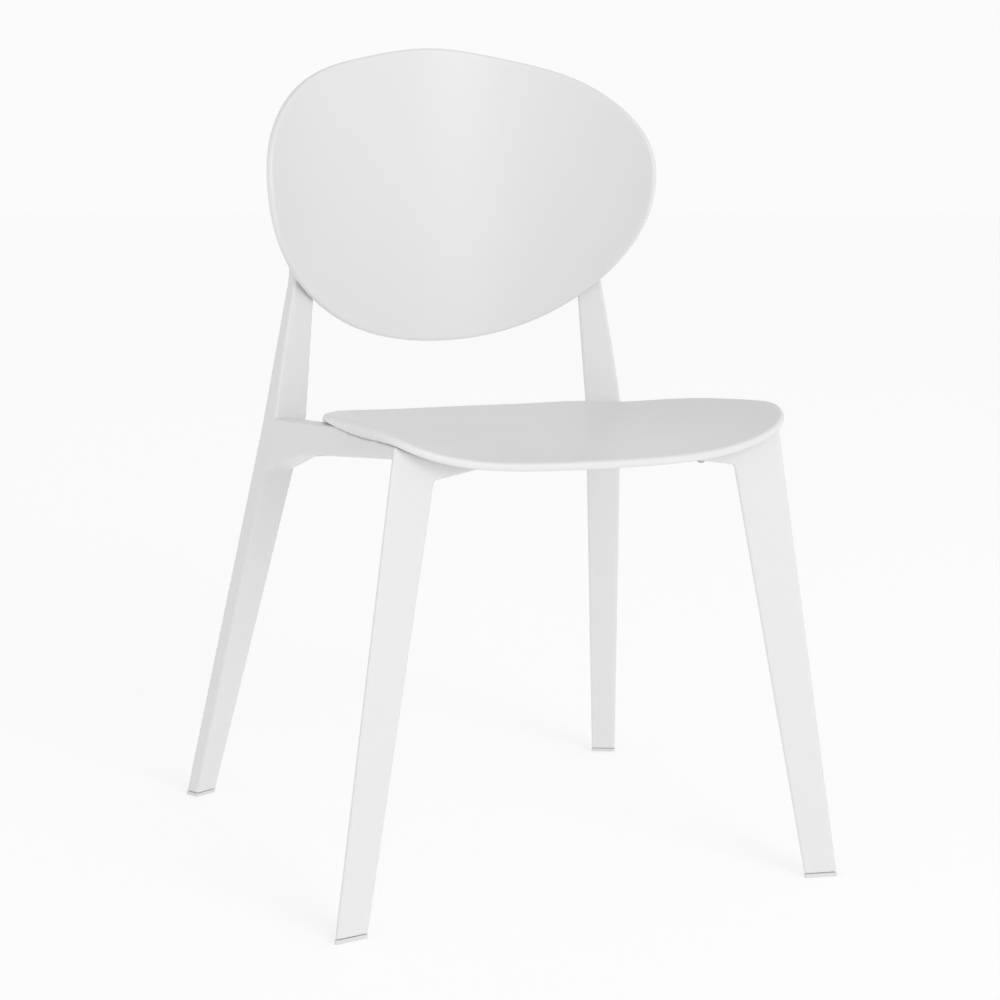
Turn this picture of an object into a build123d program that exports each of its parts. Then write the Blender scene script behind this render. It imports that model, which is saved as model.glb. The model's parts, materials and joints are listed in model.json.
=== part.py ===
from build123d import *
import math
import os

os.makedirs("parts", exist_ok=True)

# A white moulded-plastic stacking chair. Millimetres, +Z up, sitter faces -Y, feet on z = 0.
# Everything is drawn for the +X side and mirrored; the layout is re-centred in Y on export.

# working volume: prisms drawn at seat level start here and run past the seat, then get trimmed
PRISM_BOTTOM = 370.0
PRISM_HEIGHT = 150.0
SIDE_REACH = 240.0         # half width of drawn surfaces and prisms, past the outline
RIM_EDGE_LENGTH = 500.0    # only the edges round a shell's rim are longer than this

# floor contact
GLIDE_PAD = 4.0            # thickness of the glide under each foot
GLIDE_EDGE_RADIUS = 0.8
GLIDE_STEM_DIAMETER = 8.0
GLIDE_STEM_LENGTH = 14.0
GLIDE_STEM_START = 1.0     # inside the pad

# seat shell
SEAT_THICKNESS = 8.6
SEAT_EDGE_RADIUS = 3.6
SEAT_HALF_OUTLINE = [      # (x, y) front centre to rear centre
    (0, -229), (85, -225), (150, -218.5), (191, -206), (210, -172), (216.3, -120), (210.5, -60),
    (188, 20), (167, 90), (139, 137), (75, 153), (0, 155),
]
SEAT_STATIONS = [          # (y, height on the centre line, rise at the side) of the top surface
    (-250, 426.5, 38), (-205, 430.5, 38), (-130, 432.0, 34), (-60, 431.0, 34.5),
    (20, 429.0, 46.5), (90, 430.5, 50), (135, 438.0, 24), (170, 445.5, 18),
]
SEAT_RISE_HALF_WIDTH = 215.0
SEAT_RISE_POWER = 4
SEAT_GRID_STEPS = 6

# seat ribs
RIB_WIDTH = 3.0
RIB_DEPTH = 9.0
RIB_OVERLAP = 0.5          # how far the ribs start inside the shell
RIB_FIELD = (-132.0, 106.0, 118.0)   # front y, rear y, half width
RIB_LENGTHWISE = [-100, -50, 0, 50, 100]
RIB_CROSSWISE = [-115, -60, -5, 50, 90]

# backrest shell: a leaning cylinder wall cut to an egg outline
BACK_RADIUS = 273.5        # front surface
BACK_THICKNESS = 7.0
BACK_EDGE_RADIUS = 2.8
BACK_FRONT_Y = 209.3       # front surface on the centre line at BACK_PIVOT_Z
BACK_PIVOT_Z = 622.0
BACK_LEAN = 1.2            # degrees, top to the rear
BACK_JOINT_GAP = 0.1       # between the shell's rear surface and the uprights
BACK_WALL_HEIGHT = 600.0   # of the drawn cylinder, past the outline
BACK_PRISM_REAR = 400.0    # the outline prism starts behind the wall
BACK_PRISM_DEPTH = 380.0
BACK_HALF_OUTLINE = [      # (distance round the wall from the centre line, height)
    (0, 507.5), (97, 524), (158, 555.5), (223.5, 620), (243, 675), (235.5, 719), (164.5, 783), (80, 809.5),
    (0, 820.5),
]

# rear leg and upright: (x, y, z) of the two edges of the front face, and depth behind it
LEG_JOINT_Z = 435.0
REAR_LEG = [
    ((257.2, 292.9), (232.3, 305.3), 18.0, 0.0),
    ((199.0, 159.0), (160.4, 170.0), 23.0, LEG_JOINT_Z),
]
UPRIGHT = [
    ((199.0, 159.0), (160.4, 170.0), 23.0, LEG_JOINT_Z),
    ((188.5, 160.9), (155.2, 171.4), 17.0, 500.0),
    ((174.4, 163.0), (149.2, 172.5), 13.0, 575.0),
    ((166.0, 156.0), (143.0, 171.0), 17.5, 620.0),
    ((152.5, 168.0), (138.0, 176.5), 14.0, 700.0),
]
BAR_EDGE_RADIUS = 1.6
BAR_INNER_DRAFT = 0.18     # the inner side closes toward the back by this share of the depth

# side rail: plan (outer x at its rear and front end) and side profile (y, z)
RAIL_WIDTH = 22.0
RAIL_REAR = (199.5, 190.0)
RAIL_FRONT = (191.5, -188.0)
RAIL_PROFILE = [(176, 434.3), (-188, 456), (-188, 433.4), (70, 408.3), (190, 374.9)]
RAIL_LEAN = 0.133          # the outer face leans out downward with the rear leg
RAIL_CORNER_RADIUS = 20.0

# front leg: same description as the rear leg, with a back that narrows to a flat
FRONT_LEG = [
    ((260.2, -219.0), (227.4, -212.8), 16.0, 0.0),
    ((194.0, -202.4), (145.2, -188.6), 23.0, 450.0),
]
FRONT_LEG_EDGE = 2.6       # square edge before the sides turn inward
FRONT_LEG_BACK_WIDTH = 12.0
ARM_ROOT_X = 160.0         # the gusset arm starts inside the post
ARM_TIP_X = 92.0           # and runs inward to here
ARM_DEPTH = 18.0
ARM_PROFILE = [(158, 412.6), (150, 412.6), (ARM_TIP_X, 420.2), (ARM_TIP_X, 460), (158, 460)]

# rear cross rail: (front y, rear y, bottom z, top z), an inverted channel
REAR_CROSS_RAIL = (112.0, 140.0, 400.0, 432.0)
CHANNEL_WALL = 4.0
REAR_CROSS_HALF_LENGTH = 175.7
CHANNEL_TOP = 6.0
REAR_CROSS_SCREW_Y = [120.5, 131.5]
REAR_CROSS_SCREW_Z = 412.0

# fasteners
SCREW_DIAMETER = 4.0
SCREW_HEAD_DIAMETER = 8.0
SCREW_HEAD_HEIGHT = 2.6
SCREW_DRIVE_DIAMETER = 3.2
SCREW_DRIVE_DEPTH = 1.4
BORE_DIAMETER = 4.3
HEAD_BORE_DIAMETER = 8.8
BORE_REACH = 60.0          # bores run this far from the joint face toward the head
BORE_PAST = 20.0           # and this far past it
FRAME_SCREW_LENGTH = 15.0
SEAT_SCREW_LENGTH = 11.0
SEAT_SCREW_CLAMP = 6.0      # material between screw head and seat
BACK_SCREW_LENGTH = 12.0
BACK_SCREW_CLAMP = 7.5
INSERT_DIAMETER = 6.4
INSERT_GROOVE_DEPTH = 0.45
POCKET_START = 4.0         # insert pockets start this far outside the surface
SEAT_INSERT_LENGTH = 4.4
SEAT_INSERT_RECESS = 1.6    # keeps the insert clear of the sloping underside
BACK_INSERT_LENGTH = 4.8
CAP_THICKNESS = 1.6
CAP_DIAMETER = 8.6
CAP_BACK = 12.0            # outer face of a cap behind the backrest
RAIL_SCREW_PLACES = [(182.7, -95.0), (184.0, -35.0)]
ARM_SCREW_PLACES = [(143.0, -178.0)]
CROSS_SCREW_PLACES = [(60.0, 126.0)]
BACK_SCREW_PLACES = [(34.5, 612.0), (32.6, 668.0)]     # (degrees round the wall, height)

# stacking bumper: a round-ended peg under the seat, behind each arm
BUMPER_PLACE = (138.0, -150.0)
BUMPER_Z = 415.4           # where the round end starts
BUMPER_RADIUS = 5.6
BUMPER_STEM_DIAMETER = 5.0
BUMPER_STEM_LENGTH = 4.5


def closed_outline(half_points):
    """Smooth closed outline through a half outline and its mirror image."""
    mirrored = [(-x, y) for x, y in half_points[-2:0:-1]]
    return make_face(Spline(half_points + mirrored, periodic=True))


def seat_height(x, centre, rise):
    return centre + rise * (abs(x) / SEAT_RISE_HALF_WIDTH) ** SEAT_RISE_POWER


def seat_surface(drop=0.0):
    """The seat's top surface, or the same surface lowered by `drop`."""
    columns = range(-SEAT_GRID_STEPS, SEAT_GRID_STEPS + 1)
    grid = []
    for y, centre, rise in SEAT_STATIONS:
        row = []
        for step in columns:
            x = SIDE_REACH * step / SEAT_GRID_STEPS
            row.append(Vector(x, y, seat_height(x, centre, rise) - drop))
        grid.append(row)
    return Face.make_surface_from_array_of_points(grid)


def prism(outline):
    """Prism over a plan outline, tall enough to pass everything at seat level."""
    return Pos(0, 0, PRISM_BOTTOM) * extrude(outline, PRISM_HEIGHT)


def plan_prism(corners):
    return prism(make_face(Polyline(*corners, close=True)))


def above_seat_underside():
    """Everything over the seat's underside surface, which runs on past the outline."""
    return extrude(seat_surface(SEAT_THICKNESS), PRISM_HEIGHT, dir=(0, 0, 1))


def box_between(x0, x1, y0, y1, z0, z1):
    return Pos((x0 + x1) / 2, (y0 + y1) / 2, (z0 + z1) / 2) * Box(x1 - x0, y1 - y0, z1 - z0)


def mirrored(shape):
    return shape.mirror(Plane.YZ)


def both_sides(shape):
    return [shape, mirrored(shape)]


def seat_ribs():
    front, rear, half_width = RIB_FIELD
    bottom, top = PRISM_BOTTOM, PRISM_BOTTOM + PRISM_HEIGHT
    half = RIB_WIDTH / 2
    bars = []
    for x in RIB_LENGTHWISE:
        bars.append(box_between(x - half, x + half, front, rear, bottom, top))
    for y in RIB_CROSSWISE:
        bars.append(box_between(-half_width, half_width, y - half, y + half, bottom, top))
    grid = bars[0].fuse(*bars[1:])
    layer = extrude(seat_surface(SEAT_THICKNESS - RIB_OVERLAP), RIB_DEPTH, dir=(0, 0, -1))
    return grid & layer


def screw(length):
    """Pan-head screw, axis +Z, head below z = 0."""
    shank = Cylinder(SCREW_DIAMETER / 2, length, align=(Align.CENTER, Align.CENTER, Align.MIN))
    head = Pos(0, 0, -SCREW_HEAD_HEIGHT) * Cylinder(
        SCREW_HEAD_DIAMETER / 2, SCREW_HEAD_HEIGHT, align=(Align.CENTER, Align.CENTER, Align.MIN)
    )
    rim = head.edges().filter_by(GeomType.CIRCLE).sort_by(Axis.Z)[0]
    head = fillet(rim, SCREW_HEAD_HEIGHT * 0.5)
    drive = Pos(0, 0, -SCREW_HEAD_HEIGHT) * Cylinder(
        SCREW_DRIVE_DIAMETER / 2, SCREW_DRIVE_DEPTH, align=(Align.CENTER, Align.CENTER, Align.MIN)
    )
    return (head + shank) - drive


def drill(diameter, start, length):
    """Cutting cylinder from `start` along +Z."""
    return Pos(0, 0, start) * Cylinder(diameter / 2, length, align=(Align.CENTER, Align.CENTER, Align.MIN))


def insert(length):
    """Threaded insert: a sleeve with a groove round it, axis +Z."""
    sleeve = drill(INSERT_DIAMETER, 0, length)
    bore = drill(BORE_DIAMETER, -1, length + 2)
    ring = drill(2 * INSERT_DIAMETER, length * 0.4, length * 0.2)
    core = drill(INSERT_DIAMETER - 2 * INSERT_GROOVE_DEPTH, 0, length)
    return sleeve - bore - (ring - core)


def bar_section(front_outer, front_inner, depth, z):
    """Four-cornered bar section, its depth square to the front face."""
    outer = Vector(*front_outer)
    inner = Vector(*front_inner)
    across = (inner - outer).normalized()
    back = Vector(across.Y, -across.X) * depth
    corners = [outer, inner, inner + back - across * (depth * BAR_INNER_DRAFT), outer + back]
    return rounded_section(corners, z)


def rounded_section(corners, z):
    outline = make_face(Polyline(*corners, close=True))
    return Pos(0, 0, z) * fillet(outline.vertices(), BAR_EDGE_RADIUS)


def leg_section(front_outer, front_inner, depth, z):
    """Front leg section: flat face, short square edges, then sides closing on a narrow back."""
    outer = Vector(*front_outer)
    inner = Vector(*front_inner)
    across = (inner - outer).normalized()
    back = Vector(across.Y, -across.X)
    middle = (outer + inner) * 0.5 + back * depth
    flat = across * (FRONT_LEG_BACK_WIDTH / 2)
    edge = back * FRONT_LEG_EDGE
    corners = [outer, inner, inner + edge, middle + flat, middle - flat, outer + edge]
    return rounded_section(corners, z)


def between(stations, z):
    """Section values part-way up a two-station bar."""
    (outer0, inner0, depth0, z0), (outer1, inner1, depth1, z1) = stations
    t = (z - z0) / (z1 - z0)

    def mix(a, b):
        return a + (b - a) * t

    outer = (mix(outer0[0], outer1[0]), mix(outer0[1], outer1[1]))
    inner = (mix(inner0[0], inner1[0]), mix(inner0[1], inner1[1]))
    return outer, inner, mix(depth0, depth1), z


def foot_centre(stations):
    outer, inner, depth, _ = between(stations, GLIDE_PAD)
    a = Vector(*outer)
    b = Vector(*inner)
    across = (b - a).normalized()
    return (a + b) * 0.5 + Vector(across.Y, -across.X) * (depth / 2)


def glide(stations, section):
    """Foot glide: a pad with the foot's own outline and a stem that plugs into the leg."""
    pad = loft([section(*between(stations, 0.0)), section(*between(stations, GLIDE_PAD))], ruled=True)
    pad = fillet(pad.edges().group_by(Axis.Z)[0], GLIDE_EDGE_RADIUS)
    return pad + glide_stem(stations)


def glide_stem(stations):
    centre = foot_centre(stations)
    length = GLIDE_PAD + GLIDE_STEM_LENGTH - GLIDE_STEM_START
    return Pos(centre.X, centre.Y, 0) * drill(GLIDE_STEM_DIAMETER, GLIDE_STEM_START, length)


def front_leg():
    post = front_leg_post()
    outer, inner, depth, _ = FRONT_LEG[1]
    slope = (inner[1] - outer[1]) / (inner[0] - outer[0])

    def face_y(x):
        return inner[1] + slope * (x - inner[0])

    front = [(x, face_y(x)) for x in (ARM_ROOT_X, ARM_TIP_X)]
    rear = [(x, y + ARM_DEPTH) for x, y in reversed(front)]
    profile = make_face(Polyline(*ARM_PROFILE, close=True))
    arm = plan_prism(front + rear) & extrude(Plane.XZ * profile, SIDE_REACH)
    leg = post + arm - above_underside - glide_stem(FRONT_LEG)
    return cut_all(leg, seat_screw_bores(ARM_SCREW_PLACES))


def front_leg_post():
    return loft([leg_section(*between(FRONT_LEG, GLIDE_PAD)), leg_section(*FRONT_LEG[1])], ruled=True)


def side_rail():
    inner = [(x - RAIL_WIDTH, y) for x, y in (RAIL_FRONT, RAIL_REAR)]
    levels = []
    for z in (PRISM_BOTTOM, PRISM_BOTTOM + PRISM_HEIGHT):
        outer = [(x + RAIL_LEAN * (LEG_JOINT_Z - z), y) for x, y in (RAIL_REAR, RAIL_FRONT)]
        levels.append(Pos(0, 0, z) * make_face(Polyline(*outer, *inner, close=True)))
    profile = make_face(Polyline(*RAIL_PROFILE, close=True))
    rail = loft(levels, ruled=True) & extrude(Plane.YZ * profile, SIDE_REACH)
    corner_place = (RAIL_FRONT[0], *RAIL_PROFILE[3])
    lower_corner = rail.edges().filter_by(Axis.X, tolerance=5).sort_by_distance(corner_place)[0]
    return fillet(lower_corner, RAIL_CORNER_RADIUS)


def leaning(shape):
    """Tip a shape drawn round the upright cylinder back by the backrest's lean."""
    pivot = Pos(0, BACK_FRONT_Y, BACK_PIVOT_Z)
    return pivot * Rot(-BACK_LEAN, 0, 0) * Pos(0, -BACK_FRONT_Y, -BACK_PIVOT_Z) * shape


def backrest_blank(thickness):
    """Cylinder wall cut to the egg outline, its edges square to the surface."""
    axis_y = BACK_FRONT_Y - BACK_RADIUS
    half = [(BACK_RADIUS * math.sin(along / BACK_RADIUS), z) for along, z in BACK_HALF_OUTLINE]
    outline = extrude(Plane.XZ * closed_outline(half), BACK_PRISM_DEPTH)
    wall = Pos(0, axis_y, BACK_PIVOT_Z) * Cylinder(BACK_RADIUS, BACK_WALL_HEIGHT)
    surface = wall.faces().filter_by(GeomType.CYLINDER)[0]
    panel = surface.intersect(Pos(0, BACK_PRISM_REAR, 0) * outline).faces()[0]
    return leaning(thicken(panel, thickness))


def back_frame(angle, z):
    """Placement on the backrest's rear surface, +Z pointing forward through the wall."""
    axis_y = BACK_FRONT_Y - BACK_RADIUS
    radius = BACK_RADIUS + BACK_THICKNESS
    turn = math.radians(angle)
    point = (radius * math.sin(turn), axis_y + radius * math.cos(turn), z)
    normal = (-math.sin(turn), -math.cos(turn), 0)
    return Location(Plane(origin=point, x_dir=(0, 0, 1), z_dir=normal))


def on_backrest(shape):
    """Copies of a shape drawn on +Z at every backrest screw place, both sides."""
    copies = []
    for angle, z in BACK_SCREW_PLACES:
        placed = leaning(back_frame(angle, z) * shape)
        copies += both_sides(placed)
    return copies


def seat_underside_height(x, y):
    """Height of the seat's underside over a plan point."""
    probe = Pos(x, y, PRISM_BOTTOM) * Box(0.5, 0.5, 90, align=(Align.CENTER, Align.CENTER, Align.MIN))
    return (probe & above_underside).bounding_box().min.Z


def stepped_bore(clamp):
    """Screw bore and head bore on +Z, for a joint face at z = 0 with the head `clamp` below it."""
    shank = drill(BORE_DIAMETER, -BORE_REACH, BORE_REACH + BORE_PAST)
    head = drill(HEAD_BORE_DIAMETER, -BORE_REACH, BORE_REACH - clamp)
    return [shank, head]


def seat_screw_bores(places):
    """Stepped bores for the seat screws through the piece under the seat."""
    bores = []
    for x, y in places:
        underside = Pos(x, y, seat_underside_height(x, y))
        bores += [underside * bore for bore in stepped_bore(SEAT_SCREW_CLAMP)]
    return bores


def on_seat(shape, lift):
    """Copies of a shape drawn on +Z under the seat, its z = 0 `lift` above the underside."""
    copies = []
    for x, y in RAIL_SCREW_PLACES + ARM_SCREW_PLACES + CROSS_SCREW_PLACES:
        placed = Pos(x, y, seat_underside_height(x, y) + lift) * shape
        copies += both_sides(placed)
    return copies


def channel(x_half, front, rear, bottom, top):
    """Inverted channel across the chair with closed ends."""
    outside = box_between(-x_half, x_half, front, rear, bottom, top)
    inside = box_between(
        -x_half + CHANNEL_WALL, x_half - CHANNEL_WALL, front + CHANNEL_WALL, rear - CHANNEL_WALL, bottom, top
    )
    ceiling = extrude(seat_surface(SEAT_THICKNESS + CHANNEL_TOP), PRISM_HEIGHT, dir=(0, 0, -1))
    return outside - (inside & ceiling)


def cut_all(shape, tools):
    for tool in tools:
        shape = shape - tool
    return shape


def seat_shell():
    slab = extrude(seat_surface(), SEAT_THICKNESS, dir=(0, 0, -1)) & seat_prism
    rim = [edge for edge in slab.edges() if edge.length > RIM_EDGE_LENGTH]
    shell = fillet(rim, SEAT_EDGE_RADIUS) + seat_ribs()
    pocket_top = SEAT_INSERT_RECESS + SEAT_INSERT_LENGTH
    pockets = on_seat(drill(INSERT_DIAMETER, -POCKET_START, POCKET_START + pocket_top), 0.0)
    return cut_all(shell, pockets + both_sides(bumper_stem()))


def backrest_shell():
    blank = backrest_blank(BACK_THICKNESS)
    rim = [edge for edge in blank.edges() if edge.length > RIM_EDGE_LENGTH]
    shell = fillet(rim, BACK_EDGE_RADIUS)
    return cut_all(shell, on_backrest(drill(INSERT_DIAMETER, 0, BACK_INSERT_LENGTH)))


def upright():
    return loft([bar_section(*station) for station in UPRIGHT], ruled=True)


def side_frame():
    """Rear leg, upright and side rail, moulded in one."""
    leg = loft([bar_section(*between(REAR_LEG, GLIDE_PAD)), bar_section(*REAR_LEG[1])], ruled=True)
    frame = leg + upright() + side_rail()
    frame = frame - (above_underside & seat_prism) - backrest_blank(BACK_THICKNESS + BACK_JOINT_GAP)
    frame = frame - front_leg_post() - glide_stem(REAR_LEG)
    cuts = seat_screw_bores(RAIL_SCREW_PLACES)
    for angle, z in BACK_SCREW_PLACES:
        cuts += [leaning(back_frame(angle, z) * bore) for bore in stepped_bore(BACK_SCREW_CLAMP)]
    cuts += rear_cross_screws(drill(BORE_DIAMETER, 0, FRAME_SCREW_LENGTH + 1))
    return cut_all(frame, cuts)


def rear_cross_screws(shape):
    """A shape drawn on +Z, at each screw place of the right end of the rear cross rail."""
    x = REAR_CROSS_HALF_LENGTH - CHANNEL_WALL
    return [Pos(x, y, REAR_CROSS_SCREW_Z) * Rot(0, 90, 0) * shape for y in REAR_CROSS_SCREW_Y]


def cross_rail():
    rail = channel(REAR_CROSS_HALF_LENGTH, *REAR_CROSS_RAIL) - above_underside
    holes = []
    for hole in rear_cross_screws(drill(BORE_DIAMETER, -1, CHANNEL_WALL + 2)):
        holes += both_sides(hole)
    for hole in seat_screw_bores(CROSS_SCREW_PLACES):
        holes += both_sides(hole)
    return cut_all(rail, holes)


def placed_screws(places, length):
    fasteners = []
    for place in places(screw(length)):
        fasteners += both_sides(place)
    return fasteners


def bumper():
    """Stacking bumper: a peg with a domed end and a stem that plugs into the seat."""
    x, y = BUMPER_PLACE
    body = Pos(x, y, 0) * drill(2 * BUMPER_RADIUS, BUMPER_Z, BORE_REACH) - above_underside
    dome = Sphere(BUMPER_RADIUS) & box_between(
        -BUMPER_RADIUS, BUMPER_RADIUS, -BUMPER_RADIUS, BUMPER_RADIUS, -BUMPER_RADIUS, 0
    )
    return Pos(x, y, BUMPER_Z) * dome + body + bumper_stem()


def bumper_stem():
    x, y = BUMPER_PLACE
    top = seat_underside_height(x, y) + BUMPER_STEM_LENGTH
    return Pos(x, y, 0) * drill(BUMPER_STEM_DIAMETER, BUMPER_Z, top - BUMPER_Z)


def recentred(nodes):
    """All nodes moved so that the assembly's bounding box is centred on x = 0, y = 0."""
    everything = Compound(children=[part for parts in nodes.values() for part in parts])
    middle = everything.bounding_box().center()
    return {name: [Pos(-middle.X, -middle.Y, 0) * part for part in parts] for name, parts in nodes.items()}


seat_prism = prism(closed_outline(SEAT_HALF_OUTLINE))
above_underside = above_seat_underside()
frame_right = side_frame()
leg_right = front_leg()
bumper_right = bumper()
front_glide = glide(FRONT_LEG, leg_section)
rear_glide = glide(REAR_LEG, bar_section)

nodes = {
    "seat_shell": [seat_shell()],
    "backrest_shell": [backrest_shell()],
    "side_frame_right": [frame_right],
    "side_frame_left": [mirrored(frame_right)],
    "front_leg_right": [leg_right],
    "front_leg_left": [mirrored(leg_right)],
    "cross_rail": [cross_rail()],
    "seat_screws": on_seat(screw(SEAT_SCREW_LENGTH), -SEAT_SCREW_CLAMP),
    "seat_inserts": on_seat(insert(SEAT_INSERT_LENGTH), SEAT_INSERT_RECESS),
    "backrest_screws": on_backrest(Pos(0, 0, -BACK_SCREW_CLAMP) * screw(BACK_SCREW_LENGTH)),
    "backrest_inserts": on_backrest(insert(BACK_INSERT_LENGTH)),
    "backrest_screw_caps": on_backrest(drill(CAP_DIAMETER, -CAP_BACK, CAP_THICKNESS)),
    "cross_rail_screws": placed_screws(rear_cross_screws, FRAME_SCREW_LENGTH),
    "glide_front_right": [front_glide],
    "glide_front_left": [mirrored(front_glide)],
    "glide_rear_right": [rear_glide],
    "glide_rear_left": [mirrored(rear_glide)],
    "stacking_bumper_right": [bumper_right],
    "stacking_bumper_left": [mirrored(bumper_right)],
}
for name, parts in recentred(nodes).items():
    export_step(Compound(children=parts), f"parts/{name}.step")
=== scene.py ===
import json
import math

import bmesh
import bpy
import numpy as np
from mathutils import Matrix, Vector

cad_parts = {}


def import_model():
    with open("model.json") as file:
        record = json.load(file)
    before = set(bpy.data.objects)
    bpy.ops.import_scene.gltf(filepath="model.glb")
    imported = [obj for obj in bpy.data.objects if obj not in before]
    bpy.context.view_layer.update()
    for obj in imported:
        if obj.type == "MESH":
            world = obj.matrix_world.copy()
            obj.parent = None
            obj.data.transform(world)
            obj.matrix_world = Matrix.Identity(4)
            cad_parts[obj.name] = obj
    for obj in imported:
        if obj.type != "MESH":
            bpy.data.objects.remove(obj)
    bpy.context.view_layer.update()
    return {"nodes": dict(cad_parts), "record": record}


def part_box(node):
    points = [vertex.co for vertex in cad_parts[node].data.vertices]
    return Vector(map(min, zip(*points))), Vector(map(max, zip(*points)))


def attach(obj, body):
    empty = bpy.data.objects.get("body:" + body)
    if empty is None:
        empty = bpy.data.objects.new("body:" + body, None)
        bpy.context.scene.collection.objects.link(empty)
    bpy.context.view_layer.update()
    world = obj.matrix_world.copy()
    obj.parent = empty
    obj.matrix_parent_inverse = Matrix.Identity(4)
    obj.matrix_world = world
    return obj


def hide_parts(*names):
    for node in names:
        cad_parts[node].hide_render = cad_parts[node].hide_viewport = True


# A white moulded-plastic stacking chair. Metres, +Z up, the sitter faces -Y.

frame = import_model()
seat_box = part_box("seat_shell")

MM = 0.001

# The sizes below are in millimetres, up to the mesh density.

# seat shell, with y measured from the middle of its depth
SEAT_CENTRE_Y = (seat_box[0].y + seat_box[1].y) / 2 / MM
SEAT_THICKNESS = 8.6
SEAT_HALF_OUTLINE = [      # (x, y) from the middle of the seat, front centre to rear centre
    (0, -192.5), (85, -188.5), (150, -182), (191, -169.5), (210, -135.5), (216.3, -83.5), (210.5, -23.5),
    (188, 56.5), (167, 126.5), (139, 173.5), (75, 189.5), (0, 191.5),
]
SEAT_STATIONS = [          # (y, height on the centre line, rise at the side)
    (-213.5, 426.5, 38), (-168.5, 430.5, 38), (-93.5, 432.0, 34), (-23.5, 431.0, 34.5),
    (56.5, 429.0, 45.5), (126.5, 430.5, 45.5), (171.5, 438.0, 34), (206.5, 445.5, 24),
]
SEAT_RISE_HALF_WIDTH = 215.0       # where the side rise is reached
SEAT_RISE_POWER = 4                # flat in the middle, steep at the sides

# ribs under the seat
RIB_WIDTH = 3.0
RIB_DEPTH = 8.5
RIB_ROOT_WIDTH = 4.2
RIB_ROOT_SINK = 1.0        # how far a rib's root stands inside the shell
RIB_FOOT_CHAMFER = 0.8     # height of the slope at a rib's free edge
RIB_FOOT_FLAT = 0.4        # share of a rib's width that its free edge keeps flat
RIB_STEP = 6.0             # between the cross-sections of a rib
RIB_FIELD = (-95.5, 142.5, 118.0)      # front y, rear y, half width
RIB_LENGTHWISE = [-100, -50, 0, 50, 100]
RIB_CROSSWISE = [-78.5, -23.5, 31.5, 86.5, 126.5]

# backrest shell: a leaning cylinder wall with an egg outline
BACK_RADIUS = 273.5
BACK_THICKNESS = 7.0
BACK_LEAN = math.radians(1.2)
BACK_FRONT_Y = 164.7
BACK_PIVOT_Z = 622.0
BACK_HALF_OUTLINE = [      # (distance round the wall from the centre line, height)
    (0, 507.5), (97, 524), (158, 555.5), (223.5, 620), (243, 675), (235.5, 719), (164.5, 783),
    (80, 809.5), (0, 820.5),
]

# mesh density
PANEL_STEPS = 96           # quads across a shell
RIM_STEPS = 12             # quads round a shell's rim
RIM_FULLNESS = 0.8         # 1 is a half round, less is squarer
LOOP_SAMPLES = 2880        # points round an outline
SURFACE_STEP = 0.05        # millimetres to the places that give a surface its slope
INSET_ROUNDS = 4           # corrections that bring a rounded rim onto its outline

# moulded pieces in metres: the CAD shape with its edges and inside corners softened
WELD_DISTANCE = 0.00002
BAR_VOXEL = 0.0013
BAR_SMOOTHING = 9
SMALL_VOXEL = 0.0005
SMALL_SMOOTHING = 1
SMOOTHING_FACTOR = 0.5


# ---------------------------------------------------------------- curves

def spline_bends(knots, values, periodic):
    """Second derivatives, at the knots, of the cubic spline through the values."""
    count = len(values)
    gaps = np.diff(knots)
    rows = np.zeros((count, count))
    right = np.zeros(values.shape)
    for i in range(count):
        if not periodic and i in (0, count - 1):
            rows[i, i] = 1
            continue
        before = gaps[i - 1]
        after = gaps[i]
        following = (i + 1) % count
        rows[i, i - 1] = before
        rows[i, i] = 2 * (before + after)
        rows[i, following] = after
        right[i] = 6 * ((values[following] - values[i]) / after - (values[i] - values[i - 1]) / before)
    return np.linalg.solve(rows, right)


def spline_at(knots, values, bends, places):
    """The cubic spline's value at each place."""
    index = np.clip(np.searchsorted(knots, places, side="right") - 1, 0, len(knots) - 2)
    start = knots[index]
    gap = knots[index + 1] - start
    b = (places - start) / gap
    a = 1 - b
    if values.ndim > 1:
        a, b, gap = a[:, None], b[:, None], gap[:, None]
    curve = ((a ** 3 - a) * bends[index] + (b ** 3 - b) * bends[index + 1]) * gap ** 2 / 6
    return a * values[index] + b * values[index + 1] + curve


def smooth_loop(half_outline, samples=LOOP_SAMPLES):
    """Points along the smooth closed curve through a half outline and its mirror image."""
    points = np.array(half_outline + [(-x, y) for x, y in half_outline[-2:0:-1]], float)
    closed = np.vstack([points, points[:1]])
    knots = np.concatenate([[0], np.cumsum(np.linalg.norm(np.diff(closed, axis=0), axis=1))])
    bends = spline_bends(knots, points, periodic=True)
    bends = np.vstack([bends, bends[:1]])
    places = np.linspace(0, knots[-1], samples, endpoint=False)
    return spline_at(knots, closed, bends, places)


class Profile:
    """A smooth function of one variable through a few stations."""

    def __init__(self, places, values):
        self.places = np.array(places, float)
        self.values = np.array(values, float)
        self.bends = spline_bends(self.places, self.values, periodic=False)

    def __call__(self, at):
        return spline_at(self.places, self.values, self.bends, np.asarray(at, float))


# ---------------------------------------------------------------- surfaces

seat_centre_height = Profile([s[0] for s in SEAT_STATIONS], [s[1] for s in SEAT_STATIONS])
seat_side_rise = Profile([s[0] for s in SEAT_STATIONS], [s[2] for s in SEAT_STATIONS])


def seat_point(flat):
    """The seat's top surface over plan points, in millimetres."""
    x, y = flat[:, 0], flat[:, 1]
    lift = seat_side_rise(y) * (np.abs(x) / SEAT_RISE_HALF_WIDTH) ** SEAT_RISE_POWER
    return np.column_stack([x, y + SEAT_CENTRE_Y, seat_centre_height(y) + lift])


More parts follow.
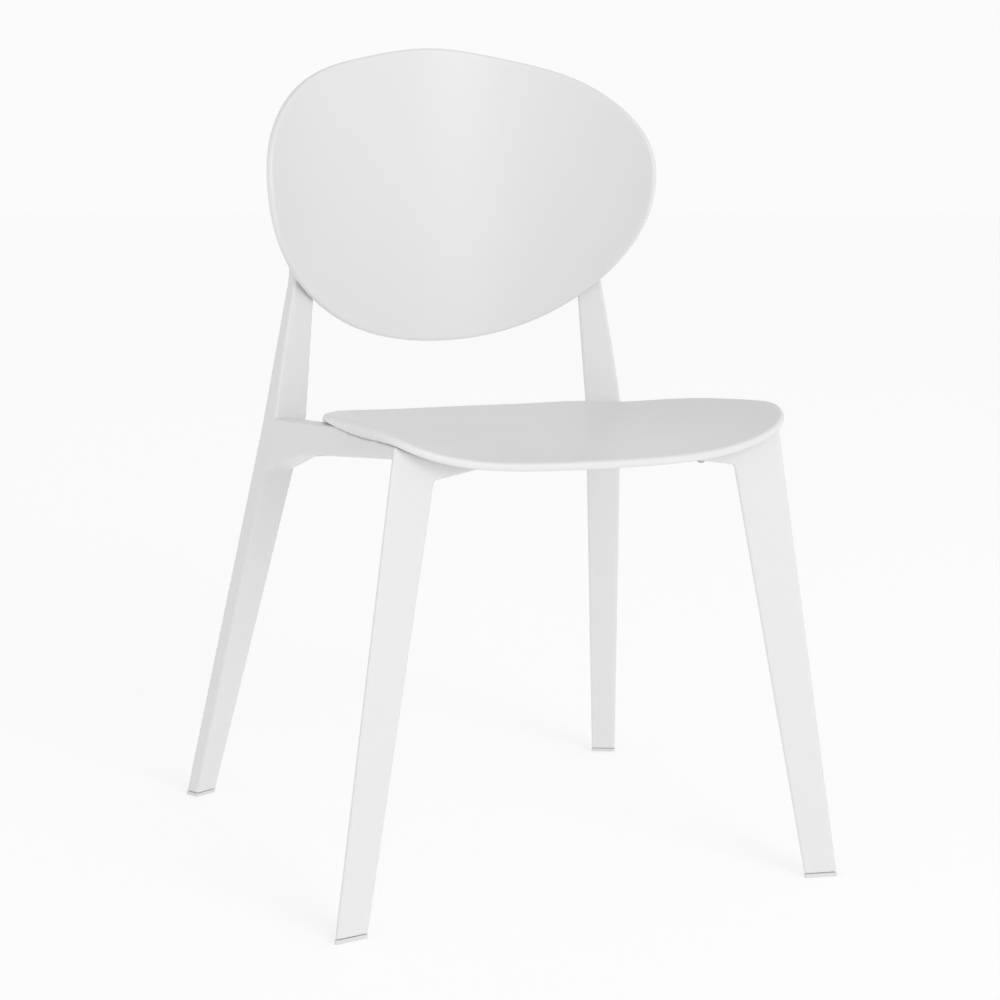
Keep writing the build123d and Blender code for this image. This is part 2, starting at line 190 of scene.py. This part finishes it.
def back_point(flat):
    """The backrest's front surface at (distance round the wall, height), in millimetres."""
    turn = flat[:, 0] / BACK_RADIUS
    x = BACK_RADIUS * np.sin(turn)
    y = BACK_RADIUS * (np.cos(turn) - 1)
    z = flat[:, 1] - BACK_PIVOT_Z
    leaned_y = y * math.cos(BACK_LEAN) + z * math.sin(BACK_LEAN)
    leaned_z = z * math.cos(BACK_LEAN) - y * math.sin(BACK_LEAN)
    return np.column_stack([x, leaned_y + BACK_FRONT_Y, leaned_z + BACK_PIVOT_Z])


def unit(vectors):
    return vectors / np.linalg.norm(vectors, axis=1)[:, None]


def surface_normal(surface, flat, facing):
    """Unit normals of a surface at flat points, on the side that `facing` points to."""
    step = SURFACE_STEP
    along = surface(flat + (step, 0)) - surface(flat - (step, 0))
    up = surface(flat + (0, step)) - surface(flat - (0, step))
    normal = unit(np.cross(along, up))
    return normal * np.sign(normal @ np.array(facing, float))[:, None]


# ---------------------------------------------------------------- shells

class Shell:
    """A panel of even thickness with a fully rounded rim."""

    def __init__(self, loop, surface, facing, thickness):
        self.surface = surface
        self.facing = facing
        self.thickness = thickness
        self.centre = (loop.max(0) + loop.min(0)) / 2
        self.edge = self.inset_loop(loop)
        offset = self.edge - self.centre
        angle = np.arctan2(offset[:, 1], offset[:, 0])
        order = np.argsort(angle)
        self.angles = angle[order]
        self.reach = np.linalg.norm(offset, axis=1)[order]

    def outward(self, flat, normal):
        """Unit directions out of the panel along its surface, round a closed loop."""
        points = self.surface(flat)
        tangent = unit(np.roll(points, -1, 0) - np.roll(points, 1, 0))
        out = unit(np.cross(tangent, normal))
        middle = points.mean(0)
        return out * np.sign(((points - middle) * out).sum(1))[:, None]

    def inset_loop(self, loop):
        """Where the flat part of the panel ends, so that its rounded rim reaches the outline."""
        edge = loop.copy()
        target = self.surface(loop)
        for _ in range(INSET_ROUNDS):
            normal = surface_normal(self.surface, edge, self.facing)
            out = self.outward(edge, normal)
            half = self.thickness(normal)[:, None] / 2
            furthest = self.surface(edge) + half * (out - normal)
            miss = target - half * normal - furthest
            edge = edge + self.flattened(edge, miss)
        return edge

    def flattened(self, flat, moves):
        """Moves along the surface, as steps in its flat coordinates."""
        step = SURFACE_STEP
        along = (self.surface(flat + (step, 0)) - self.surface(flat)) / step
        up = (self.surface(flat + (0, step)) - self.surface(flat)) / step
        a = (moves * along).sum(1) / (along * along).sum(1)
        b = (moves * up).sum(1) / (up * up).sum(1)
        return np.column_stack([a, b])

    def grid(self):
        """Flat points of an even grid of quads over the panel."""
        side = np.linspace(-1, 1, PANEL_STEPS + 1)
        u, v = np.meshgrid(side, side, indexing="ij")
        x = u * np.sqrt(1 - v ** 2 / 2)
        y = v * np.sqrt(1 - u ** 2 / 2)
        angle = np.arctan2(y, x).ravel()
        share = np.hypot(x, y).ravel()
        reach = np.interp(angle, self.angles, self.reach, period=2 * math.pi)
        ray = np.column_stack([np.cos(angle), np.sin(angle)])
        return self.centre + ray * (reach * share)[:, None]

    def mesh(self, name):
        """Both faces of the panel and the rings of its rim, as one object."""
        flat = self.grid()
        normal = surface_normal(self.surface, flat, self.facing)
        front = self.surface(flat)
        back = front - self.thickness(normal)[:, None] * normal
        count = PANEL_STEPS + 1
        index = np.arange(count * count).reshape(count, count)
        border = np.concatenate([index[0, :-1], index[:-1, -1], index[-1, :0:-1], index[:0:-1, 0]])
        out = self.outward(flat[border], normal[border])
        half = self.thickness(normal[border])[:, None] / 2
        middle = front[border] - half * normal[border]
        rings = []
        for step in range(1, RIM_STEPS):
            turn = math.pi * step / RIM_STEPS
            reach = math.sin(turn) ** RIM_FULLNESS
            lift = math.copysign(abs(math.cos(turn)) ** RIM_FULLNESS, math.cos(turn))
            rings.append(middle + half * (reach * out + lift * normal[border]))
        return self.build(name, front, back, rings, index, border)

    def build(self, name, front, back, rings, index, border):
        """Quads over the front, the back and the rim between them."""
        shell = bmesh.new()
        front_verts = [shell.verts.new(p * MM) for p in front]
        back_verts = [shell.verts.new(p * MM) for p in back]
        loops = [[front_verts[i] for i in border]]
        loops += [[shell.verts.new(p * MM) for p in ring] for ring in rings]
        loops.append([back_verts[i] for i in border])
        for verts in (front_verts, back_verts):
            for i in range(PANEL_STEPS):
                for j in range(PANEL_STEPS):
                    corners = (index[i, j], index[i + 1, j], index[i + 1, j + 1], index[i, j + 1])
                    shell.faces.new([verts[c] for c in corners])
        for upper, lower in zip(loops, loops[1:]):
            for k in range(len(upper)):
                following = (k + 1) % len(upper)
                shell.faces.new([upper[k], upper[following], lower[following], lower[k]])
        return finished(name, shell)


def finished(name, shape):
    """A smooth-shaded object from a bmesh, its faces turned outward."""
    bmesh.ops.recalc_face_normals(shape, faces=shape.faces)
    mesh = bpy.data.meshes.new(name)
    shape.to_mesh(mesh)
    shape.free()
    mesh.shade_smooth()
    return linked(name, mesh)


def linked(name, mesh):
    """A mesh as an object in the scene."""
    piece = bpy.data.objects.new(name, mesh)
    bpy.context.scene.collection.objects.link(piece)
    return piece


# ---------------------------------------------------------------- pieces

def seat_vertical_thickness(normal):
    """Thickness along the normal of a shell that is even when measured straight down."""
    return SEAT_THICKNESS * np.abs(normal[:, 2])


def back_even_thickness(normal):
    return np.full(len(normal), BACK_THICKNESS)


def seat_panel():
    loop = smooth_loop(SEAT_HALF_OUTLINE)
    return Shell(loop, seat_point, (0, 0, 1), seat_vertical_thickness).mesh("seat_panel")


def back_panel():
    half = [(BACK_RADIUS * math.sin(a / BACK_RADIUS), z) for a, z in BACK_HALF_OUTLINE]
    loop = smooth_loop(half)
    loop[:, 0] = BACK_RADIUS * np.arcsin(loop[:, 0] / BACK_RADIUS)
    return Shell(loop, back_point, (0, -1, 0), back_even_thickness).mesh("back_panel")


def rib_sections(line, across):
    """Cross-sections of one rib along a line of plan points: wide at the root, chamfered at the foot."""
    under = seat_point(line)
    under[:, 2] -= SEAT_THICKNESS - RIB_ROOT_SINK
    root, foot = RIB_ROOT_WIDTH / 2, RIB_WIDTH / 2
    flat, shoulder = foot * RIB_FOOT_FLAT, -RIB_DEPTH + RIB_FOOT_CHAMFER
    profile = [(-root, 0), (-foot, shoulder), (-flat, -RIB_DEPTH),
               (flat, -RIB_DEPTH), (foot, shoulder), (root, 0)]
    return [[p + np.array([*(across * side), drop]) for side, drop in profile] for p in under]


def seat_rib_grid():
    """The crossing ribs moulded under the seat, as one mesh."""
    front, rear, half_width = RIB_FIELD
    shape = bmesh.new()
    for x in RIB_LENGTHWISE:
        y = np.arange(front, rear + RIB_STEP / 2, RIB_STEP)
        add_sweep(shape, rib_sections(np.column_stack([np.full(len(y), x), y]), np.array([1.0, 0.0])))
    for y in RIB_CROSSWISE:
        x = np.arange(-half_width, half_width + RIB_STEP / 2, RIB_STEP)
        add_sweep(shape, rib_sections(np.column_stack([x, np.full(len(x), y)]), np.array([0.0, 1.0])))
    return finished("seat_ribs", shape)


def add_sweep(shape, sections):
    """A closed bar through a row of sections with the same number of corners."""
    rings = [[shape.verts.new(corner * MM) for corner in section] for section in sections]
    for a, b in zip(rings, rings[1:]):
        for k in range(len(a)):
            following = (k + 1) % len(a)
            shape.faces.new([a[k], a[following], b[following], b[k]])
    shape.faces.new(rings[0])
    shape.faces.new(rings[-1])


def moulded(node, name, voxel, smoothing):
    """A CAD node's shape as an even mesh with softened edges and filled inside corners."""
    mesh = frame["nodes"][node].data.copy()
    welded = bmesh.new()
    welded.from_mesh(mesh)
    bmesh.ops.remove_doubles(welded, verts=welded.verts, dist=WELD_DISTANCE)
    welded.to_mesh(mesh)
    welded.free()
    piece = linked(name, mesh)
    remesh = piece.modifiers.new("even mesh", "REMESH")
    remesh.mode = "VOXEL"
    remesh.voxel_size = voxel
    smooth = piece.modifiers.new("soft edges", "SMOOTH")
    smooth.factor = SMOOTHING_FACTOR
    smooth.iterations = smoothing
    evaluated = piece.evaluated_get(bpy.context.evaluated_depsgraph_get())
    piece.data = bpy.data.meshes.new_from_object(evaluated)
    piece.modifiers.clear()
    piece.data.shade_smooth()
    return piece


# ---------------------------------------------------------------- materials

# how far a noise value really ranges, out of 0 to 1
NOISE_LOW = 0.3
NOISE_HIGH = 0.7

# moulded plastic
PLASTIC_IOR = 1.49
GLOW_DEPTH = (0.004, 0.004, 0.0035)      # how far each colour travels under the surface
FLOW_SCALE = 9.0
FLOW_STRENGTH = 0.1
FLOW_HEIGHT = 0.001
CLOUD_SCALE = 45.0
GLOSS_DRIFT = 0.015
GRAIN_SCALE = 2600.0
GRAIN_HEIGHT = 0.00006

# turned metal
MARK_SCALE = 1800.0
MARK_STRENGTH = 0.25
MARK_HEIGHT = 0.00004
STAIN_SCALE = 160.0
STAIN_SHADE = 0.86
POLISH_DRIFT = (-0.06, 0.1)


def new_material(name):
    material = bpy.data.materials.new(name)
    material.use_nodes = True
    return material, material.node_tree.nodes, material.node_tree.links


def noise(nodes, links, coordinates, scale, detail):
    """A noise texture in the piece's own coordinates."""
    texture = nodes.new("ShaderNodeTexNoise")
    texture.inputs["Scale"].default_value = scale
    texture.inputs["Detail"].default_value = detail
    links.new(coordinates.outputs["Object"], texture.inputs["Vector"])
    return texture


def ramp(nodes, links, source, low, high):
    """A noise value remapped to low..high."""
    remap = nodes.new("ShaderNodeMapRange")
    remap.inputs["From Min"].default_value = NOISE_LOW
    remap.inputs["From Max"].default_value = NOISE_HIGH
    remap.inputs["To Min"].default_value = low
    remap.inputs["To Max"].default_value = high
    links.new(source, remap.inputs["Value"])
    return remap.outputs["Result"]


def bump(nodes, links, height, strength, distance, under=None):
    """A bump layer, on top of another one if that is given."""
    layer = nodes.new("ShaderNodeBump")
    layer.inputs["Strength"].default_value = strength
    layer.inputs["Distance"].default_value = distance
    links.new(height, layer.inputs["Height"])
    if under:
        links.new(under.outputs["Normal"], layer.inputs["Normal"])
    return layer


def tinted(nodes, links, source, first, second):
    """Colour that drifts between two tints with a noise."""
    mix = nodes.new("ShaderNodeMix")
    mix.data_type = "RGBA"
    mix.inputs["A"].default_value = (*first, 1)
    mix.inputs["B"].default_value = (*second, 1)
    links.new(source, mix.inputs["Factor"])
    return mix.outputs["Result"]


def moulded_plastic(name, light, dark, roughness, grain, glow=0.0):
    """Injection-moulded plastic: a fine mould grain, faint flow waves and an uneven satin gloss."""
    material, nodes, links = new_material(name)
    shader = nodes["Principled BSDF"]
    shader.inputs["IOR"].default_value = PLASTIC_IOR
    shader.inputs["Subsurface Weight"].default_value = glow
    shader.inputs["Subsurface Radius"].default_value = GLOW_DEPTH
    shader.inputs["Subsurface Scale"].default_value = 1.0
    coordinates = nodes.new("ShaderNodeTexCoord")
    flow = noise(nodes, links, coordinates, FLOW_SCALE, detail=2.0)
    cloud = noise(nodes, links, coordinates, CLOUD_SCALE, detail=4.0)
    fine = noise(nodes, links, coordinates, GRAIN_SCALE, detail=2.0)
    links.new(tinted(nodes, links, flow.outputs["Fac"], light, dark), shader.inputs["Base Color"])
    links.new(ramp(nodes, links, cloud.outputs["Fac"], roughness - GLOSS_DRIFT, roughness + GLOSS_DRIFT),
              shader.inputs["Roughness"])
    waves = bump(nodes, links, flow.outputs["Fac"], FLOW_STRENGTH, FLOW_HEIGHT)
    skin = bump(nodes, links, fine.outputs["Fac"], grain, GRAIN_HEIGHT, waves)
    links.new(skin.outputs["Normal"], shader.inputs["Normal"])
    return material


def bright_metal(name, colour, roughness):
    """Plated or turned metal with fine turning marks."""
    material, nodes, links = new_material(name)
    shader = nodes["Principled BSDF"]
    shader.inputs["Metallic"].default_value = 1.0
    coordinates = nodes.new("ShaderNodeTexCoord")
    marks = noise(nodes, links, coordinates, MARK_SCALE, detail=2.0)
    stains = noise(nodes, links, coordinates, STAIN_SCALE, detail=3.0)
    darker = tuple(c * STAIN_SHADE for c in colour)
    links.new(tinted(nodes, links, stains.outputs["Fac"], colour, darker), shader.inputs["Base Color"])
    smoothest, roughest = (roughness + drift for drift in POLISH_DRIFT)
    links.new(ramp(nodes, links, marks.outputs["Fac"], smoothest, roughest), shader.inputs["Roughness"])
    layer = bump(nodes, links, marks.outputs["Fac"], MARK_STRENGTH, MARK_HEIGHT)
    links.new(layer.outputs["Normal"], shader.inputs["Normal"])
    return material


def give(piece, material):
    piece.data.materials.clear()
    piece.data.materials.append(material)


white_plastic = moulded_plastic(
    "white_polypropylene", light=(0.735, 0.735, 0.733), dark=(0.725, 0.726, 0.727),
    roughness=0.38, grain=0.12, glow=0.1)
glide_plastic = moulded_plastic(
    "glide_plastic", light=(0.69, 0.69, 0.685), dark=(0.67, 0.67, 0.67), roughness=0.45, grain=0.3)
bumper_rubber = moulded_plastic(
    "bumper_rubber", light=(0.5, 0.5, 0.5), dark=(0.46, 0.46, 0.46), roughness=0.6, grain=0.4)
zinc = bright_metal("zinc_plate", colour=(0.62, 0.63, 0.65), roughness=0.34)
brass = bright_metal("brass", colour=(0.74, 0.58, 0.3), roughness=0.36)

SLOT_MATERIALS = {
    "white_plastic": white_plastic,
    "glide_plastic": glide_plastic,
    "bumper_rubber": bumper_rubber,
    "zinc_steel": zinc,
    "insert_brass": brass,
}


# ---------------------------------------------------------------- assembly

def stand_in(piece, node, slot):
    """A visual piece takes a CAD node's place and finish."""
    give(piece, SLOT_MATERIALS[slot])
    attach(piece, "root")
    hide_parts(node)


stand_in(seat_panel(), "seat_shell", "white_plastic")
stand_in(back_panel(), "backrest_shell", "white_plastic")
ribs = seat_rib_grid()
give(ribs, white_plastic)
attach(ribs, "root")

for side in ("right", "left"):
    stand_in(moulded(f"side_frame_{side}", f"side_frame_bar_{side}", BAR_VOXEL, BAR_SMOOTHING),
             f"side_frame_{side}", "white_plastic")
    stand_in(moulded(f"front_leg_{side}", f"front_leg_bar_{side}", BAR_VOXEL, BAR_SMOOTHING),
             f"front_leg_{side}", "white_plastic")
    for end in ("front", "rear"):
        stand_in(moulded(f"glide_{end}_{side}", f"foot_glide_{end}_{side}", SMALL_VOXEL, SMALL_SMOOTHING),
                 f"glide_{end}_{side}", "glide_plastic")
    stand_in(moulded(f"stacking_bumper_{side}", f"bumper_{side}", SMALL_VOXEL, SMALL_SMOOTHING),
             f"stacking_bumper_{side}", "bumper_rubber")

for subpart in frame["record"]["subparts"]:
    node = frame["nodes"][subpart["node"]]
    give(node, SLOT_MATERIALS[subpart["material_slot"]])


# ---------------------------------------------------------------- studio

FLOOR_RADIUS = 40.0
FLOOR_SEGMENTS = 128
FLOOR_LIGHT = (0.58, 0.58, 0.58)
FLOOR_DARK = (0.57, 0.57, 0.57)
FLOOR_GRAIN_SCALE = 30.0
FLOOR_ROUGHNESS = 0.9
FLOOR_GLOW = 0.475
CAMERA_PLACE = (-0.833, -2.0596, 0.683)
CAMERA_TURN = (math.radians(81.59), 0, math.radians(-22.19))
CAMERA_LENS = 78.41
CAMERA_SENSOR = 36.0
SKY_AT_HORIZON = 0.96
SKY_OVERHEAD = 0.64
SKY_FADE_FROM = 0.15                     # height of a view direction where the sky starts to dim
FRONT_LIGHT_PLACE = (1.0, -6.0, 2.4)
FRONT_LIGHT_TARGET = (0, 0, 0.6)
FRONT_LIGHT_SIZE = 3.0
FRONT_LIGHT_POWER = 98.0


def see_through_from_below(nodes, links, shader):
    """Leaves a one-sided surface's back clear, so that the chair's underside can be viewed."""
    side = nodes.new("ShaderNodeNewGeometry")
    clear = nodes.new("ShaderNodeBsdfTransparent")
    mix = nodes.new("ShaderNodeMixShader")
    links.new(side.outputs["Backfacing"], mix.inputs["Fac"])
    links.new(shader.outputs["BSDF"], mix.inputs[1])
    links.new(clear.outputs["BSDF"], mix.inputs[2])
    links.new(mix.outputs["Shader"], nodes["Material Output"].inputs["Surface"])


def floor():
    """A wide pale disc under the chair."""
    disc = bmesh.new()
    bmesh.ops.create_circle(disc, cap_ends=True, segments=FLOOR_SEGMENTS, radius=FLOOR_RADIUS)
    piece = finished("studio_floor", disc)
    material, nodes, links = new_material("pale_floor")
    shader = nodes["Principled BSDF"]
    shader.inputs["Roughness"].default_value = FLOOR_ROUGHNESS
    shader.inputs["Emission Color"].default_value = (1, 1, 1, 1)
    shader.inputs["Emission Strength"].default_value = FLOOR_GLOW
    coordinates = nodes.new("ShaderNodeTexCoord")
    grain = noise(nodes, links, coordinates, FLOOR_GRAIN_SCALE, detail=4.0)
    tint = tinted(nodes, links, grain.outputs["Fac"], FLOOR_LIGHT, FLOOR_DARK)
    links.new(tint, shader.inputs["Base Color"])
    see_through_from_below(nodes, links, shader)
    give(piece, material)


def world():
    """A plain sky, bright at the horizon and dimmer overhead."""
    sky = bpy.data.worlds.new("studio")
    sky.use_nodes = True
    nodes, links = sky.node_tree.nodes, sky.node_tree.links
    coordinates = nodes.new("ShaderNodeTexCoord")
    split = nodes.new("ShaderNodeSeparateXYZ")
    links.new(coordinates.outputs["Generated"], split.inputs["Vector"])
    fade = nodes.new("ShaderNodeMapRange")
    fade.inputs["From Min"].default_value = SKY_FADE_FROM
    fade.inputs["To Min"].default_value = SKY_AT_HORIZON
    fade.inputs["To Max"].default_value = SKY_OVERHEAD
    links.new(split.outputs["Z"], fade.inputs["Value"])
    nodes["Background"].inputs["Color"].default_value = (1, 1, 1, 1)
    links.new(fade.outputs["Result"], nodes["Background"].inputs["Strength"])
    bpy.context.scene.world = sky


def soft_light(name, place, target, size, power):
    """A square area light that points at its target."""
    data = bpy.data.lights.new(name, "AREA")
    data.shape = "SQUARE"
    data.size = size
    data.energy = power
    lamp = bpy.data.objects.new(name, data)
    lamp.location = place
    lamp.rotation_euler = (Vector(target) - Vector(place)).to_track_quat("-Z", "Y").to_euler()
    bpy.context.scene.collection.objects.link(lamp)


def camera():
    data = bpy.data.cameras.new("camera")
    data.lens = CAMERA_LENS
    data.sensor_width = CAMERA_SENSOR
    data.dof.use_dof = False
    eye = bpy.data.objects.new("camera", data)
    eye.location = CAMERA_PLACE
    eye.rotation_euler = CAMERA_TURN
    bpy.context.scene.collection.objects.link(eye)
    bpy.context.scene.camera = eye


floor()
world()
soft_light("front_light", FRONT_LIGHT_PLACE, FRONT_LIGHT_TARGET, FRONT_LIGHT_SIZE, FRONT_LIGHT_POWER)
camera()
bpy.context.scene.view_settings.view_transform = "Standard"
